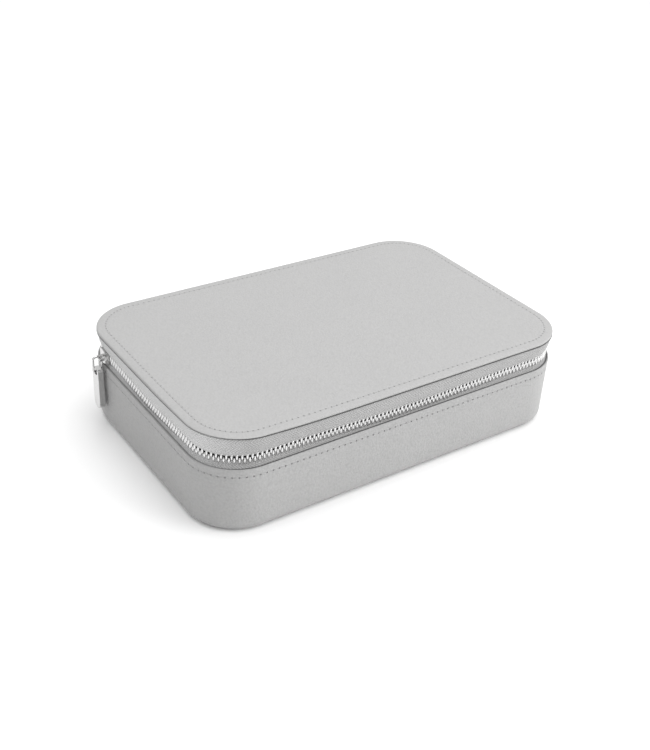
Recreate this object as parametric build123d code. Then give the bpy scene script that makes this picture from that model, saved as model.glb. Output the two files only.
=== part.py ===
from build123d import *
import os
from math import ceil, floor, pi

# Travel jewellery case: a stiff base tray and a flat padded lid, both covered in grained
# faux leather and joined round three sides by a metal zip and at the rear by a soft spine.
# Frame, in mm: origin at the middle of the underside, +X along the length, -Y the front, +Z up.
# An "inset" is a distance inwards from the outside outline of the case.

# ---- overall sizes ----
case_length = 250.0
case_width = 164.0
corner_radius = 30.5
base_height = 41.0
lid_lift = 11.1
lid_edge = 1.6
lid_crown = 1.1
crown_run = 9.0
foot_bevel = 3.4

# ---- shells ----
cover_thickness = 0.9
tray_wall = 2.0
hem_width = 12.0
floor_pad_thickness = 2.0
lining_thickness = 0.7
layer_gap = 0.1
lid_skin = 0.7
lid_board_thickness = 2.2
lid_board_inset = 4.8

# ---- zip ----
tape_thickness = 0.6
tape_inset = 2.8
tape_flare_inset = 1.5
tape_tuck = 7.0
tooth_pitch = 2.675
tooth_depth = 2.0
tooth_root = 2.7
tooth_tip = 0.7
tooth_clearance = 0.1375
tooth_nose_width = 0.9
parting = 1.3
parting_ramp = 5.0
parting_lead = 1.0
stop_length = 2.4
rear_run = 9.5

# ---- slider and pull ----
slider_from_corner = 1.5
slider_length = 9.6
slider_shoulder = 1.3
slider_plate = 1.2
slider_lip = 0.5
slider_clearance = 0.4
slider_slot_clearance = 0.3
slider_above_edge = 0.6
mouth_clearance = 0.1
post_length = 2.4
bar_diameter = 1.4
bar_length = 5.6
link_length = 11.4
link_wire = 1.3
link_play = 0.15
link_wall_gap = 0.35
link_side_play = 0.35
link_inner_radius = 1.0
tab_length = 27.0
tab_width = 7.9
tab_thickness = 3.3
tab_eye_play = 1.0
tab_eye_run = 3.1
tab_rim = 1.3

# ---- interior ----
insert_inset = 6.2
insert_wall_thickness = 2.0
insert_rise = 9.0
divider_thickness = 2.4
long_divider_y = 12.0
rear_divider_x = 21.0
ring_divider_x = -20.0
front_divider_x = 49.0
roll_count = 6
roll_gap = 1.2
roll_drop = 7.0
fit_gap = 0.15

# ---- lid interior ----
pocket_thickness = 1.2
pocket_depth = 58.0
pocket_side_gap = 26.0
pocket_rear_gap = 14.0
pocket_band_width = 7.0
strip_length = 150.0
strip_width = 11.0
strip_thickness = 1.0
strip_y = -46.0
hook_count = 5
hook_drop = 5.5
hook_reach = 4.5
hook_wire = 1.2
hook_margin = 15.0

# ---- heights, insets and fits worked out from the sizes above ----
half_length = case_length / 2
half_width = case_width / 2
tooth_width = tooth_pitch / 2 - tooth_clearance
slider_mouth = 2 * (tooth_root + parting + mouth_clearance + slider_lip)
slider_tail = 2 * (tooth_root + slider_clearance + slider_lip)
slider_gap = tooth_depth + 2 * slider_clearance
slider_slot = tape_thickness + 2 * slider_slot_clearance
slider_y = half_width - corner_radius - slider_from_corner
post_width = 2 * (parting - tooth_tip - mouth_clearance)
zip_rise = slider_mouth / 2 + slider_above_edge
spine_length = case_length - 2 * (corner_radius + rear_run)
link_width = tab_thickness + 2 * (link_wire + link_side_play)
tab_eye = link_wire + tab_eye_play
tab_eye_length = link_wire + tab_eye_run
zip_height = base_height + zip_rise
lid_bottom = zip_height + lid_lift
lid_edge_top = lid_bottom + lid_edge
tape_middle = tape_inset + tape_thickness / 2
tray_inset = cover_thickness
tray_inner = tray_inset + tray_wall
lining_inset = tape_inset + tape_thickness + 0.4
lining_inner = lining_inset + lining_thickness
tray_bottom = cover_thickness
tray_floor = tray_bottom + tray_wall
tray_inner_bevel = max(foot_bevel - tray_wall / 2, 0.5)
pad_inset = tray_inner + tray_inner_bevel + layer_gap
pad_bottom = tray_floor + layer_gap
pad_top = pad_bottom + floor_pad_thickness
floor_top = pad_top + layer_gap + lining_thickness
insert_top = base_height + insert_rise
insert_inner = insert_inset + insert_wall_thickness
insert_bottom = floor_top + layer_gap
lid_board_top = lid_bottom - layer_gap
lid_board_bottom = lid_board_top - lid_board_thickness
lid_lining_bottom = lid_board_bottom - layer_gap - lining_thickness
plate_inset = tape_middle - slider_gap / 2 - slider_plate
bar_reach = plate_inset + link_wall_gap + link_wire + link_play + bar_diameter / 2
inner_half_length = half_length - insert_inner - fit_gap
inner_half_width = half_width - insert_inner - fit_gap


def outline(inset):
    """The plan of the case, moved inwards by the inset, on Z = 0."""
    radius = max(corner_radius - inset, 1.0)
    return RectangleRounded(case_length - 2 * inset, case_width - 2 * inset, radius)


def slab(inset, low, high):
    """A plate of the case's plan between two heights."""
    return Pos(0, 0, low) * extrude(outline(inset), amount=high - low)


def clipped_slab(inset, low, high):
    """A hidden stiffener: a rectangle with its corners clipped to stay inside the case's plan."""
    block = Box(case_length - 2 * inset, case_width - 2 * inset, high - low)
    block = chamfer(block.edges().filter_by(Axis.Z), corner_radius - inset)
    return Pos(0, 0, (low + high) / 2) * block


def ring(outer_inset, inner_inset, low, high):
    """A wall that follows the case's plan, between two insets and two heights."""
    return slab(outer_inset, low, high) - slab(inner_inset, low, high)


def flared(levels):
    """A solid through the case's plan at each (inset, height) level, straight in between."""
    return loft([Pos(0, 0, height) * outline(inset) for inset, height in levels], ruled=True)


def rear_opening(length, low, high):
    """A block over the rear wall, as long as the spine, used to open a ring there."""
    return Pos(0, half_width, (low + high) / 2) * Box(length, corner_radius, high - low)


def save(name, shape):
    """Writes one named sub-part."""
    shape.label = name
    export_step(shape, f"parts/{name}.step")


# ---------------------------------------------------------------- base shells
def tray_block():
    """Outside form of the tray, which the wall cover wraps: its foot is bevelled."""
    body = slab(tray_inset, tray_bottom, base_height - cover_thickness)
    return chamfer(body.edges().group_by(Axis.Z)[0], foot_bevel)


def make_base_tray():
    """Moulded tray with a bevelled foot: floor and wall in one piece."""
    hollow = slab(tray_inner, tray_floor, base_height)
    hollow = chamfer(hollow.edges().group_by(Axis.Z)[0], tray_inner_bevel)
    return tray_block() - hollow


def make_wall_cover():
    """Faux leather round the tray, turned over its top edge and hemmed under its floor."""
    outside = slab(0, 0, base_height)
    outside = chamfer(outside.edges().group_by(Axis.Z)[0], foot_bevel)
    floor_opening = slab(hem_width, 0, tray_bottom)
    mouth = slab(tray_inner, base_height - cover_thickness, base_height)
    return outside - tray_block() - floor_opening - mouth


def make_bottom_cover():
    """Panel on the underside, flush with the hem of the wall cover."""
    return slab(hem_width + fit_gap, 0, tray_bottom)


# ---------------------------------------------------------------- lid shells
def crowned(inset, low, top):
    """A shallow pillow: the plan at its edge, and further in and a little higher."""
    return flared([(inset, low), (inset + crown_run, top)])


def make_lid_cover():
    """Faux leather skin of the lid: a thin edge all round and a low crown on top."""
    edge = slab(0, lid_bottom, lid_edge_top)
    edge = chamfer(edge.edges().group_by(Axis.Z)[0], lid_edge * 0.3)
    body = edge + crowned(0, lid_edge_top, lid_edge_top + lid_crown)
    hollow = slab(lid_skin, lid_bottom + lid_skin, lid_edge_top - lid_skin / 2)
    hollow += crowned(lid_skin, lid_edge_top - lid_skin / 2, lid_edge_top + lid_crown - lid_skin)
    return body - hollow


def make_lid_foam():
    """Thin padding that fills the lid cover."""
    low = lid_bottom + lid_skin + layer_gap
    top = lid_edge_top + lid_crown - lid_skin - layer_gap
    return clipped_slab(crown_run + lid_skin + layer_gap, low, top)


# ---------------------------------------------------------------- zip
def zip_path():
    """Middle line of the chain, from the rear right, round the front, to the rear left."""
    x = half_length - tape_middle
    y = half_width - tape_middle
    radius = corner_radius - tape_middle
    end = spine_length / 2
    rear_right = Line((end, y), (x - radius, y))
    corner_1 = RadiusArc((x - radius, y), (x, y - radius), radius)
    right = Line((x, y - radius), (x, radius - y))
    corner_2 = RadiusArc((x, radius - y), (x - radius, -y), radius)
    front = Line((x - radius, -y), (radius - x, -y))
    corner_3 = RadiusArc((radius - x, -y), (-x, radius - y), radius)
    left = Line((-x, radius - y), (-x, y - radius))
    corner_4 = RadiusArc((-x, y - radius), (radius - x, y), radius)
    rear_left = Line((radius - x, y), (-end, y))
    return Wire([rear_right, corner_1, right, corner_2, front, corner_3, left, corner_4, rear_left])


def distance_of_slider(path):
    """How far along the zip the slider's middle stands."""
    after_left = spine_tail_length(path)
    left_top = half_width - corner_radius
    return path.length - after_left - (left_top - slider_y)


def spine_tail_length(path):
    """Length of the zip behind the rear end of the left side: a corner and a short straight."""
    corner = (corner_radius - tape_middle) * pi / 2
    return corner + (half_length - corner_radius) - spine_length / 2


def parted(distance, path):
    """How far a row of teeth stands back from the meshed line at a distance along the zip."""
    start = distance_of_slider(path) - parting_lead
    share = min(max((distance - start) / parting_ramp, 0.0), 1.0)
    return parting * share * share * (3 - 2 * share)


def make_tooth():
    """One tooth of the lid's row, pointing down: a tongue that narrows towards its nose."""
    half_nose = tooth_nose_width / 2
    half_root = tooth_width / 2
    points = [
        (-half_nose, -tooth_tip),
        (half_nose, -tooth_tip),
        (half_root, tooth_root),
        (-half_root, tooth_root),
    ]
    profile = Plane.XZ * make_face(Polyline(points, close=True))
    return extrude(profile, amount=tooth_depth / 2, both=True)


def make_teeth(path, side, first, last):
    """A row of teeth between two distances; side is 1 for the lid's row and -1 for the base's."""
    start = tooth_pitch * (1.0 if side > 0 else 1.5)
    tooth = make_tooth() if side > 0 else Rot(180, 0, 0) * make_tooth()
    teeth = []
    for number in range(ceil((first - start) / tooth_pitch), floor((last - start) / tooth_pitch) + 1):
        distance = start + number * tooth_pitch
        point = path.position_at(distance, position_mode=PositionMode.LENGTH)
        angle = path.tangent_angle_at(distance, position_mode=PositionMode.LENGTH)
        height = zip_height + side * parted(distance, path)
        teeth.append(Pos(point.X, point.Y, height) * Rot(0, 0, angle) * tooth)
    return Compound(children=teeth)


def parted_zone(low, high):
    """A block over the left rear corner, where the two rows lie apart."""
    width = 2 * (half_length - spine_length / 2)
    depth = 2 * (half_width - slider_y + parting_lead)
    return Pos(-half_length, half_width, (low + high) / 2) * Box(width, depth, high - low)


def make_lid_tape():
    """Tape from the chain up to the lid's edge, flaring outwards as it rises."""
    low = zip_height + tooth_root
    outside = flared([(tape_inset, low), (tape_inset, low + parting), (tape_flare_inset, lid_bottom)])
    inner = tape_inset + tape_thickness
    inner_top = tape_flare_inset + tape_thickness
    inside = flared([(inner, low), (inner, low + parting), (inner_top, lid_bottom)])
    tape = outside - inside - rear_opening(spine_length, 0, lid_edge_top)
    return tape - parted_zone(low, low + parting)


def make_base_tape():
    """Tape from the chain straight down behind the base wall's edge."""
    high = zip_height - tooth_root
    low = base_height - tape_tuck
    tape = ring(tape_inset + layer_gap, tape_inset + tape_thickness, low, high)
    tape -= rear_opening(spine_length, 0, lid_edge_top)
    return tape - parted_zone(high - parting, high)


def make_stop(side, x):
    """A clip crimped across the end of one tape beyond its last tooth."""
    clip = Box(stop_length, tooth_depth, tooth_root - layer_gap)
    height = zip_height + side * ((tooth_root + layer_gap) / 2 + (parting if x < 0 else 0))
    return Pos(x, half_width - tape_middle, height) * chamfer(clip.edges().filter_by(Axis.Y), 0.4)


# ---------------------------------------------------------------- slider and pull
def slider_outline():
    """Shield shape of a slider plate in the Y-Z plane: wide at the mouth, narrow at the tail."""
    half = slider_length / 2
    lower = [
        (-half, -slider_tail / 2 + slider_lip / 2),
        (-slider_shoulder, -slider_tail / 2),
        (slider_shoulder, -slider_mouth / 2),
        (half, -slider_mouth / 2),
    ]
    upper = [(y, -z) for y, z in reversed(lower)]
    face = make_face(Polyline(lower + upper, close=True))
    return fillet(face.vertices(), 0.9)


def make_slider():
    """Two plates joined by a wedge at the mouth, with lips that leave a slot for the tapes."""
    depth = slider_gap + 2 * slider_plate
    shield = slider_outline()
    middle = Plane.YZ.offset(tape_middle - half_length)
    body = extrude(middle * shield, amount=depth / 2, both=True)
    tail_height = 2 * (tooth_root + slider_clearance / 2)
    tail_room = Pos(-slider_length / 2, 0) * Rectangle(slider_length, tail_height)
    mouth_room = Pos(slider_length / 2, 0) * Rectangle(slider_length / 2, slider_mouth - 2 * slider_lip)
    chamber = offset(shield, amount=-slider_lip) + tail_room + mouth_room
    body -= extrude(middle * chamber, amount=slider_gap / 2, both=True)
    body -= extrude(middle * Rectangle(2 * slider_length, 2 * slider_mouth), amount=slider_slot / 2, both=True)
    post_start = slider_length / 2 - post_length
    post = make_face(
        Polyline(
            [
                (post_start, 0),
                (post_start + post_length * 0.7, post_width / 2),
                (slider_length / 2, post_width / 2),
                (slider_length / 2, -post_width / 2),
                (post_start + post_length * 0.7, -post_width / 2),
            ],
            close=True,
        )
    )
    body += extrude(middle * post, amount=slider_gap / 2 + slider_plate / 2, both=True)
    return Pos(0, slider_y, zip_height) * (body + make_slider_bar())


def bar_x():
    """Where the slider's cross bar stands, outside the outer plate."""
    return plate_inset - half_length - bar_reach


def make_slider_bar():
    """Low arch on the outer plate: a round bar along Y on two legs."""
    bar = Pos(bar_x(), 0, 0) * Rot(90, 0, 0) * Cylinder(bar_diameter / 2, bar_length)
    plate_x = bar_x() + bar_reach + slider_plate / 2
    leg_length = plate_x - bar_x()
    legs = []
    for end in (-1, 1):
        leg = Box(leg_length, bar_diameter, bar_diameter)
        y = end * (bar_length / 2 - bar_diameter / 2)
        legs.append(Pos(bar_x() + leg_length / 2, y, 0) * leg)
    return bar + legs[0] + legs[1]


def link_middle():
    """Middle of the link: its inner top corner rests on the slider's bar."""
    reach = bar_diameter / 2 + link_play
    x = bar_x() + reach + link_wire - link_width / 2
    z = zip_height + reach + link_wire - link_length / 2
    return x, z


def make_link():
    """Ring of square wire with rounded corners that hangs from the slider's bar."""
    x, z = link_middle()
    outer = RectangleRounded(link_width, link_length, link_inner_radius + link_wire)
    inner = RectangleRounded(link_width - 2 * link_wire, link_length - 2 * link_wire, link_inner_radius)
    body = extrude(Plane.XZ * (outer - inner), amount=link_wire / 2, both=True)
    return Pos(x, slider_y, z) * body


def make_tab():
    """Flat pull tab with a half-round lower end and an eye for the link near its top."""
    x, z = link_middle()
    wire_z = z - link_length / 2 + link_wire / 2
    top = wire_z + tab_eye / 2 + tab_rim
    straight = tab_length - tab_width / 2
    face = Pos(0, top - straight / 2) * Rectangle(tab_width, straight)
    face += Pos(0, top - straight) * Circle(tab_width / 2)
    face = fillet(face.vertices().group_by(Axis.Y)[-1], 1.6)
    eye = Pos(0, wire_z) * RectangleRounded(tab_eye_length, tab_eye, tab_eye * 0.45)
    tab = extrude(Plane.YZ * (face - eye), amount=tab_thickness / 2, both=True)
    return Pos(tab_x(), slider_y, 0) * tab


def tab_x():
    """Middle of the pull tab's thickness: the middle of the link."""
    return link_middle()[0]


# ---------------------------------------------------------------- spine
def make_spine():
    """Soft strip that closes the rear between the two ends of the zip; it turns with the lid."""
    low = base_height + 0.4
    strip = ring(0.4, 1.2, low, lid_bottom)
    return strip & rear_opening(spine_length - 2 * fit_gap, low, lid_bottom)


def make_spine_lining():
    """Lining on the inner face of the spine."""
    low = base_height + 0.4
    strip = ring(1.2 + layer_gap, 1.2 + layer_gap + lining_thickness, low, lid_bottom)
    return strip & rear_opening(spine_length - 2 * fit_gap, low, lid_bottom)


def make_spine_anchor():
    """Lower edge of the spine strip, glued inside the rear wall."""
    low = base_height - tape_tuck
    strip = ring(tape_inset + layer_gap, tape_inset + tape_thickness, low, base_height)
    return strip & rear_opening(spine_length - 2 * fit_gap, low, base_height)


# ---------------------------------------------------------------- interior of the base
def upright(x_from, x_to, y_from, y_to):
    """A divider board between two plan corners, with softened top edges."""
    height = insert_top - insert_bottom
    board = Box(x_to - x_from, y_to - y_from, height)
    along = Axis.X if x_to - x_from > y_to - y_from else Axis.Y
    top = board.edges().filter_by(along).group_by(Axis.Z)[-1]
    board = fillet(top, divider_thickness * 0.3)
    return Pos((x_from + x_to) / 2, (y_from + y_to) / 2, (insert_bottom + insert_top) / 2) * board


def make_long_divider():
    """Divider along the length, between the two ends of the insert wall."""
    half = divider_thickness / 2
    return upright(-inner_half_length, inner_half_length, long_divider_y - half, long_divider_y + half)


def make_rear_divider():
    """Short divider behind the long one."""
    half = divider_thickness / 2
    start = long_divider_y + half + fit_gap
    return upright(rear_divider_x - half, rear_divider_x + half, start, inner_half_width)


def make_front_divider(x):
    """Short divider in front of the long one."""
    half = divider_thickness / 2
    end = long_divider_y - half - fit_gap
    return upright(x - half, x + half, -inner_half_width, end)


def make_ring_roll(number):
    """One padded bar with a round top; rings stand in the slits between neighbours."""
    room = (ring_divider_x - divider_thickness / 2) - (-inner_half_length)
    pitch = (room - roll_gap) / roll_count
    width = pitch - roll_gap
    x = -inner_half_length + roll_gap + pitch * number + width / 2
    top = insert_top - roll_drop
    front = -inner_half_width + roll_gap
    rear = long_divider_y - divider_thickness / 2 - roll_gap
    height = top - insert_bottom
    profile = Rectangle(width, height - width / 2)
    profile = Pos(0, -width / 4) * profile + Pos(0, height / 2 - width / 2) * Circle(width / 2)
    bar = extrude(Plane.XZ * profile, amount=(rear - front) / 2, both=True)
    bar = Pos(x, (front + rear) / 2, insert_bottom + height / 2) * bar
    return bar & slab(insert_inner + roll_gap, 0, case_width)


# ---------------------------------------------------------------- interior of the lid
def pocket_front():
    """Where the pocket's open front edge lies."""
    return half_width - pocket_rear_gap - pocket_depth


def make_pocket():
    """Flat gathered pocket on the lid's lining, open towards the front."""
    width = case_length - 2 * pocket_side_gap
    panel = Box(width, pocket_depth - pocket_band_width, pocket_thickness)
    panel = fillet(panel.edges().filter_by(Axis.Z).group_by(Axis.Y)[-1], 8)
    y = pocket_front() + pocket_band_width + (pocket_depth - pocket_band_width) / 2
    return Pos(0, y, lid_lining_bottom - layer_gap - pocket_thickness / 2) * panel


def make_pocket_band():
    """Elastic edge of the pocket."""
    width = case_length - 2 * pocket_side_gap
    band = Box(width, pocket_band_width - layer_gap, pocket_thickness + 0.4)
    y = pocket_front() + pocket_band_width / 2
    return Pos(0, y, lid_lining_bottom - layer_gap - (pocket_thickness + 0.4) / 2) * band


def make_hook_strip():
    """Stiff covered strip that carries the necklace hooks."""
    face = RectangleRounded(strip_length, strip_width, strip_width * 0.3)
    return Pos(0, strip_y, lid_lining_bottom - layer_gap - strip_thickness) * extrude(
        face, amount=strip_thickness
    )


def make_hook(number):
    """Small metal hook: a stem down from the strip and an arm towards the front."""
    top = lid_lining_bottom - layer_gap - strip_thickness
    hook_pitch = (strip_length - 2 * hook_margin) / (hook_count - 1)
    x = (number - (hook_count - 1) / 2) * hook_pitch
    stem = Pos(x, strip_y, top - hook_drop / 2) * Box(hook_wire, hook_wire, hook_drop)
    arm_y = strip_y - hook_reach / 2 + hook_wire / 2
    arm = Pos(x, arm_y, top - hook_drop + hook_wire / 2) * Box(hook_wire, hook_reach, hook_wire)
    lip_y = strip_y - hook_reach + hook_wire
    lip = Pos(x, lip_y, top - hook_drop + hook_wire) * Box(hook_wire, hook_wire, 2 * hook_wire)
    return stem + arm + lip


def main():
    """Builds every sub-part and writes one STEP file for each."""
    os.makedirs("parts", exist_ok=True)
    path = zip_path()
    ends = tooth_pitch * 0.5
    split = distance_of_slider(path) - slider_length / 2

    save("base_tray", make_base_tray())
    save("wall_cover", make_wall_cover())
    save("bottom_cover", make_bottom_cover())
    save("floor_pad", clipped_slab(pad_inset, pad_bottom, pad_top))
    save("floor_lining", slab(lining_inner + layer_gap, pad_top + layer_gap, floor_top))
    save("wall_lining", ring(lining_inset, lining_inner, tray_floor + tray_inner_bevel, base_height - layer_gap))
    save("spine_anchor", make_spine_anchor())

    save("insert_wall", ring(insert_inset, insert_inner, insert_bottom, insert_top))
    save("long_divider", make_long_divider())
    save("rear_divider", make_rear_divider())
    save("ring_divider", make_front_divider(ring_divider_x))
    save("front_divider", make_front_divider(front_divider_x))
    for number in range(roll_count):
        save(f"ring_roll_{number + 1}", make_ring_roll(number))

    save("zip_tape_base", make_base_tape())
    save("zip_teeth_base", make_teeth(path, -1, ends, split))
    save("zip_teeth_base_parted", make_teeth(path, -1, split, path.length - ends))
    save("zip_tape_lid", make_lid_tape())
    save("zip_teeth_lid", make_teeth(path, 1, ends, split))
    save("zip_teeth_lid_parted", make_teeth(path, 1, split, path.length - ends))
    save("top_stop_lid", make_stop(1, -spine_length / 2 + fit_gap))
    save("top_stop_base", make_stop(-1, -spine_length / 2 + fit_gap))
    save("bottom_stop", make_stop(-1, spine_length / 2 - fit_gap))

    save("zip_slider", make_slider())
    save("pull_link", make_link())
    save("pull_tab", make_tab())

    save("lid_cover", make_lid_cover())
    save("lid_foam", make_lid_foam())
    save("lid_board", clipped_slab(lid_board_inset, lid_board_bottom, lid_board_top))
    save("lid_lining", slab(lid_board_inset, lid_lining_bottom, lid_board_bottom - layer_gap))
    save("hinge_spine", make_spine())
    save("spine_lining", make_spine_lining())
    save("lid_pocket", make_pocket())
    save("pocket_band", make_pocket_band())
    save("hook_strip", make_hook_strip())
    for number in range(hook_count):
        save(f"necklace_hook_{number + 1}", make_hook(number))


main()
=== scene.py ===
import math

import bmesh
import bpy
import numpy as np
from mathutils import Matrix, Vector


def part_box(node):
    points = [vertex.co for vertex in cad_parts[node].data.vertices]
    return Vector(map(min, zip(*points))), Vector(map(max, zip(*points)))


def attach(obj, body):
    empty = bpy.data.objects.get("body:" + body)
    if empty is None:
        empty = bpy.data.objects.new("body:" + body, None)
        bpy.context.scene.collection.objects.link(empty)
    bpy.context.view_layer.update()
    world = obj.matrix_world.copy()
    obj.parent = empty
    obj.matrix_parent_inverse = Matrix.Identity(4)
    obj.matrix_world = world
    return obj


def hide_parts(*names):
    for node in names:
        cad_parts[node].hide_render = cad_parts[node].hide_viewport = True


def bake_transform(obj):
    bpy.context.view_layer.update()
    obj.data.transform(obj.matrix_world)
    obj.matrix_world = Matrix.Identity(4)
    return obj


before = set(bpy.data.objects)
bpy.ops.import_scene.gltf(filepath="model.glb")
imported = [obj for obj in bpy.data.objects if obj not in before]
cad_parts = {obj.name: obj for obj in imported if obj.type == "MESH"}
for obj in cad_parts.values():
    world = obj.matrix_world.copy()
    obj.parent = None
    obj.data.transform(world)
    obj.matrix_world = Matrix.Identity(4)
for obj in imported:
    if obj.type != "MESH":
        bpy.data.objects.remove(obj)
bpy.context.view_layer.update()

# Looks of the travel jewelry case. Metres throughout, in the part's own frame: +X along the
# length, -Y the front, +Z up. An "inset" is a distance inwards from an outline.

MM = 0.001


def low(node):
    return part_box(node)[0]


def high(node):
    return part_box(node)[1]


# ---- sizes read from the frame ----
HALF_X = high("wall_cover").x
HALF_Y = high("wall_cover").y
BASE_TOP = high("wall_cover").z
LID_LOW = low("lid_cover").z
LID_HIGH = high("lid_cover").z
LINING_LOW = low("lid_lining").z
LID_INSET = HALF_Y - high("lid_lining").y
CHAIN_Z = (low("zip_teeth_lid").z + high("zip_teeth_base").z) / 2
ROOT = low("zip_tape_lid").z - CHAIN_Z
TAPE_OUT = HALF_Y + low("zip_tape_base").y
TAPE_LOW = low("zip_tape_base").z
SPINE_HALF = high("hinge_spine").x
SLIDER_Y = (low("zip_slider").y + high("zip_slider").y) / 2

# ---- sizes of the look ----
CORNER = 30.5 * MM
FOOT = 5.0 * MM
SKIN = 0.9 * MM
HEM = 12.0 * MM
LID_RIM = 0.6 * MM
LID_SHOULDER = 2.35 * MM
RIM_BACK = 0.2 * MM
CROWN_RUN = 9.0 * MM
TAPE = 0.6 * MM
TAPE_FLARE = 0.9 * MM
EDGE_FOLD = 1.0 * MM
SAG_FRONT = 2.0 * MM
SAG_SIDE = 1.9 * MM
LIFTED_CORNER = 1.3 * MM
RIM_LIFT = 1.9
CHAIN_INSET = 3.1 * MM
TOOTH_PITCH = 2.675 * MM
PARTING = 1.3 * MM
PARTING_LEAD = 1.0 * MM
PARTING_RAMP = 5.0 * MM
LID_STITCH_INSET = 5.5 * MM
LID_STITCH_PITCH = 3.5 * MM
BASE_STITCH_DROP = 4.8 * MM
BASE_STITCH_PITCH = 3.8 * MM
THREAD_HALF_SIZE = (0.95 * MM, 0.22 * MM, 0.1 * MM)
WALL_THREAD_INSET = 0.13 * MM
LID_GROOVE = 0.07 * MM
WALL_GROOVE = 0.08 * MM
LID_RIPPLE = 0.08 * MM
WALL_RIPPLE = 0.09 * MM
LINING_RIPPLE = 0.12 * MM
SPINE_THICK = 1.1 * MM
SPINE_REAR_INSET = 0.7 * MM
ROLL_GAP = 0.5 * MM
ROLL_END_GAP = 0.6 * MM
FIRST_ROLL_TRIM = 5.0 * MM
LINK_WIRE = 0.66 * MM
HOOK_WIRE = 0.55 * MM
POCKET_FOLDS = 44
LEATHER = 0.405
SEED = 7


# ------------------------------------------------------------------ surfaces
class Plan:
    """A rounded rectangle seen from above, walked clockwise from the middle of its rear side."""

    def __init__(self, half_x, half_y, corner, centre=(0.0, 0.0)):
        self.corner = corner
        self.centre = np.array(centre)
        self.run_x = half_x - corner
        self.run_y = half_y - corner

    def lengths(self, inset):
        """Lengths of the nine stretches, straight and corner in turn, on the outline at an inset."""
        quarter = (self.corner - inset) * math.pi / 2
        a, b = self.run_x, self.run_y
        return np.array([a, quarter, 2 * b, quarter, 2 * a, quarter, 2 * b, quarter, a])

    def length(self, inset=0.0):
        return self.lengths(inset).sum()

    def walk(self, distance, inset, reference=0.0):
        """Points and outward normals after walking a distance on the outline at the reference inset.
        A point is its place on the inner rectangle of corner centres plus the corner radius less
        the inset, along the normal; on a straight the normal stands still and the place moves, on
        a corner the place stands still and the normal turns by distance over radius."""
        distance = np.asarray(distance, float)
        lengths = self.lengths(reference)
        starts = np.concatenate([[0.0], np.cumsum(lengths)])
        where = np.mod(distance, starts[-1])
        stretch = np.clip(np.searchsorted(starts, where, side="right") - 1, 0, 8)
        rest = where - starts[stretch]
        a, b = self.run_x, self.run_y
        start_x = np.array([0, a, a, a, a, -a, -a, -a, -a])[stretch]
        start_y = np.array([b, b, b, -b, -b, -b, -b, b, b])[stretch]
        turned = np.array([0, 0, 1, 1, 2, 2, 3, 3, 4])[stretch] * math.pi / 2
        on_corner = stretch % 2 == 1
        turn = np.where(on_corner, rest / max(self.corner - reference, 1e-9), 0.0)
        angle = math.pi / 2 - turned - turn
        normal = np.stack([np.cos(angle), np.sin(angle)], -1)
        along = np.stack([normal[..., 1], -normal[..., 0]], -1)
        place = np.stack([start_x, start_y], -1) + np.where(on_corner, 0, rest)[..., None] * along
        point = place + (self.corner - np.asarray(inset))[..., None] * normal
        return point + self.centre, normal

    def stations(self, straight_step, corner_step):
        """Distances on the outline, closer together on the corners."""
        lengths = self.lengths(0.0)
        starts = np.concatenate([[0.0], np.cumsum(lengths)])
        pieces = []
        for number, length in enumerate(lengths):
            step = corner_step if number % 2 else straight_step
            count = max(int(math.ceil(length / step)), 1)
            pieces.append(starts[number] + length * np.arange(count) / count)
        return np.concatenate(pieces)


CASE = Plan(HALF_X, HALF_Y, CORNER)


def grid_faces(rows, columns, wrap_rows, wrap_columns):
    """Quads of a grid as vertex numbers, and the same corners numbered on the grid with its
    wrapped row or column written out again, which is how its UVs are numbered."""
    i, j = np.meshgrid(
        np.arange(rows - 1 + wrap_rows), np.arange(columns - 1 + wrap_columns), indexing="ij"
    )
    i, j = i.ravel(), j.ravel()
    corner_i = np.stack([i, i + 1, i + 1, i], -1)
    corner_j = np.stack([j, j, j + 1, j + 1], -1)
    vertex = (corner_i % rows) * columns + corner_j % columns
    unwrapped = corner_i * (columns + wrap_columns) + corner_j
    return vertex, unwrapped


def new_piece(name, vertices, faces, uvs=None, smooth=True):
    """An object at the origin from vertex places, faces and one UV pair for each face corner."""
    mesh = bpy.data.meshes.new(name)
    mesh.from_pydata(np.asarray(vertices).tolist(), [], faces)
    if uvs is not None:
        layer = mesh.uv_layers.new(name="UVMap")
        layer.data.foreach_set("uv", np.asarray(uvs, np.float32).ravel())
    mesh.polygons.foreach_set("use_smooth", np.full(len(mesh.polygons), smooth))
    mesh.update()
    piece = bpy.data.objects.new(name, mesh)
    bpy.context.scene.collection.objects.link(piece)
    return piece


def face_outwards(piece):
    """Turns a closed piece's faces so that they all point out of it."""
    shape = bmesh.new()
    shape.from_mesh(piece.data)
    bmesh.ops.recalc_face_normals(shape, faces=shape.faces)
    shape.to_mesh(piece.data)
    shape.free()


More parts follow.
